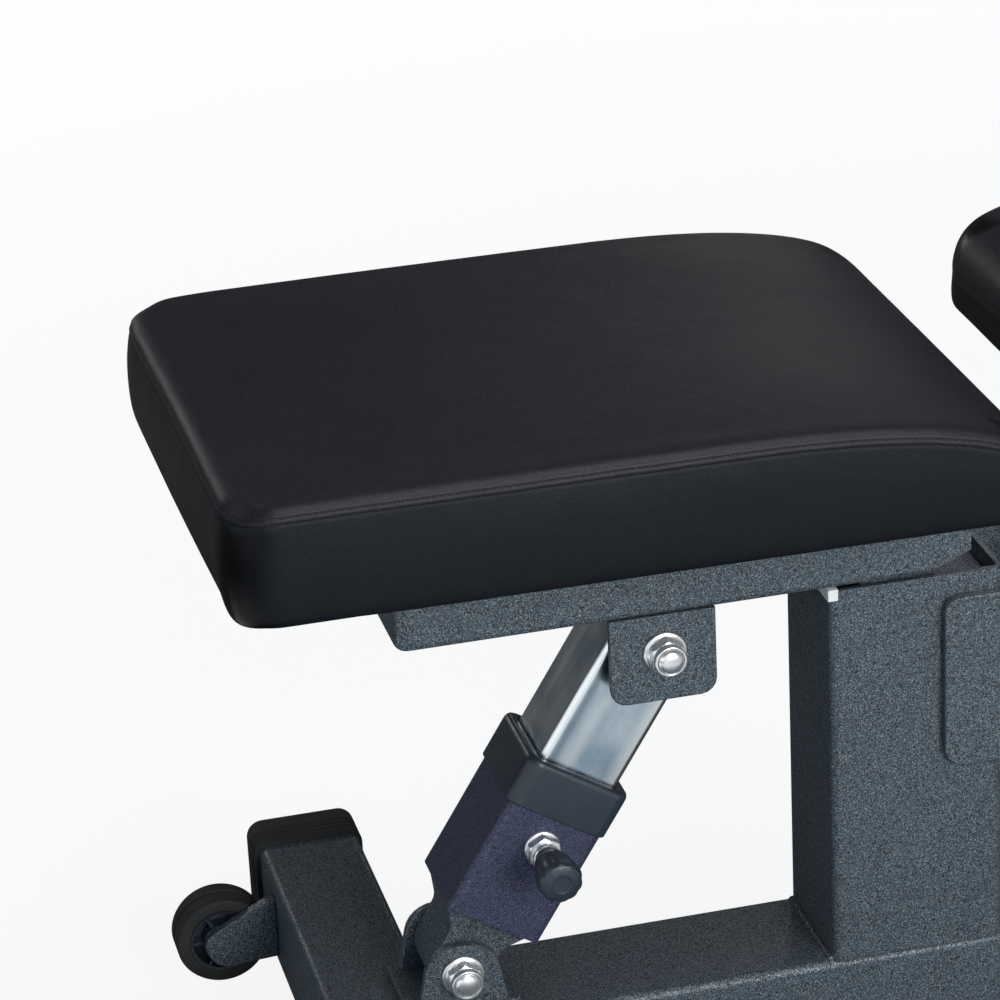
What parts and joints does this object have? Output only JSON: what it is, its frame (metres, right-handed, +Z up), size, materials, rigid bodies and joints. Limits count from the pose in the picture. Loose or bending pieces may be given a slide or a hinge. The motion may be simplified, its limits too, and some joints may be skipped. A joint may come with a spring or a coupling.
{
  "type": "utility bench",
  "caption": "Adjustable strength training bench with a tilting seat on a telescoping strut and a reclining backrest set by a pinned sector.",
  "frame": {"origin": "centre of the bounding box on the floor", "axes": "+X along the bench from the seat to the head of the backrest, +Z up, -Y the side with the pull pins"},
  "size_m": [1.3004, 0.572, 0.45],
  "materials": {
    "black_vinyl": "satin grained vinyl upholstery",
    "plywood": "bare plywood",
    "hammertone_coat": "speckled grey powder coat",
    "dark_speckled_coat": "speckled black powder coat",
    "zinc_plate": "bright zinc plate",
    "black_plastic": "smooth moulded plastic",
    "white_nylon": "moulded nylon",
    "black_rubber": "moulded rubber"
  },
  "bodies": {
    "frame": {"back_hinge_bolt": "zinc_plate", "back_hinge_nut": "zinc_plate", "back_pin_housing": "zinc_plate", "base_rail": "hammertone_coat", "front_foot_left": "black_rubber", "front_foot_right": "black_rubber", "front_stabiliser": "hammertone_coat", "head_plate_left": "hammertone_coat", "head_plate_right": "hammertone_coat", "hinge_yoke": "hammertone_coat", "main_post": "hammertone_coat", "post_gusset": "hammertone_coat", "rear_foot_left": "black_rubber", "rear_foot_right": "black_rubber", "rear_handle": "zinc_plate", "rear_stabiliser": "hammertone_coat", "rest_pad_left": "white_nylon", "rest_pad_right": "white_nylon", "seat_hinge_sleeve": "zinc_plate", "strut_clevis": "hammertone_coat", "strut_foot_bolt": "zinc_plate", "strut_foot_nut": "zinc_plate", "wheel_bracket_left": "hammertone_coat", "wheel_bracket_right": "hammertone_coat"},
    "seat": {"seat_beam": "hammertone_coat", "seat_beam_end": "hammertone_coat", "seat_board": "plywood", "seat_bolt_front_left": "zinc_plate", "seat_bolt_front_right": "zinc_plate", "seat_bolt_rear_left": "zinc_plate", "seat_bolt_rear_right": "zinc_plate", "seat_cushion": "black_vinyl", "seat_hinge_bolt": "zinc_plate", "seat_hinge_nut": "zinc_plate", "seat_mount_front": "hammertone_coat", "seat_mount_rear": "hammertone_coat", "strut_bracket_left": "hammertone_coat", "strut_bracket_right": "hammertone_coat", "strut_top_bolt": "zinc_plate", "strut_top_nut": "zinc_plate"},
    "back": {"back_beam": "hammertone_coat", "back_beam_cap": "black_plastic", "back_board": "plywood", "back_bolt_front_left": "zinc_plate", "back_bolt_front_right": "zinc_plate", "back_bolt_rear_left": "zinc_plate", "back_bolt_rear_right": "zinc_plate", "back_cushion": "black_vinyl", "back_mount_front": "hammertone_coat", "back_mount_rear": "hammertone_coat", "back_sector": "hammertone_coat"},
    "strut_outer": {"strut_outer_tube": "dark_speckled_coat", "strut_collar": "black_plastic", "strut_foot_lug": "hammertone_coat", "strut_pin_housing": "zinc_plate"},
    "strut_inner": {"strut_inner_tube": "zinc_plate"},
    "strut_pin": {"strut_pin_knob": "black_plastic"},
    "back_pin": {"back_pin_knob": "black_plastic"},
    "wheel_left": {"wheel_left": "black_rubber"},
    "wheel_right": {"wheel_right": "black_rubber"}
  },
  "joints": [
    {"name": "seat_tilt", "type": "hinge", "parent": "frame", "child": "seat", "pos_m": [-0.265, 0, 0.345], "axis": [0, 1, 0], "range_deg": [0, 15]},
    {"name": "back_recline", "type": "hinge", "parent": "frame", "child": "back", "pos_m": [-0.12, 0, 0.357], "axis": [0, -1, 0], "range_deg": [0, 75]},
    {"name": "strut_swing", "type": "hinge", "parent": "frame", "child": "strut_outer", "pos_m": [-0.51718, 0, 0.09431], "axis": [0, -1, 0], "range_deg": [0, 7.4]},
    {"name": "strut_slide", "type": "slide", "parent": "strut_outer", "child": "strut_inner", "axis": [0.5363, 0, 0.844], "range_m": [0, 0.0257]},
    {"name": "strut_pin_pull", "type": "slide", "parent": "strut_outer", "child": "strut_pin", "axis": [0, 1, 0], "range_m": [0, 0.006]},
    {"name": "back_pin_pull", "type": "slide", "parent": "frame", "child": "back_pin", "axis": [0, 1, 0], "range_m": [0, 0.01]},
    {"name": "wheel_left_spin", "type": "hinge", "parent": "frame", "child": "wheel_left", "pos_m": [-0.622, -0.169, 0.033], "axis": [0, 1, 0], "continuous": true},
    {"name": "wheel_right_spin", "type": "hinge", "parent": "frame", "child": "wheel_right", "pos_m": [-0.622, 0.169, 0.033], "axis": [0, 1, 0], "continuous": true}
  ],
  "couplings": [
    {"joint": "strut_swing", "follows": "seat_tilt", "ratio": 0.4875},
    {"joint": "strut_slide", "follows": "seat_tilt", "m_per_rad": 0.0978}
  ]
}
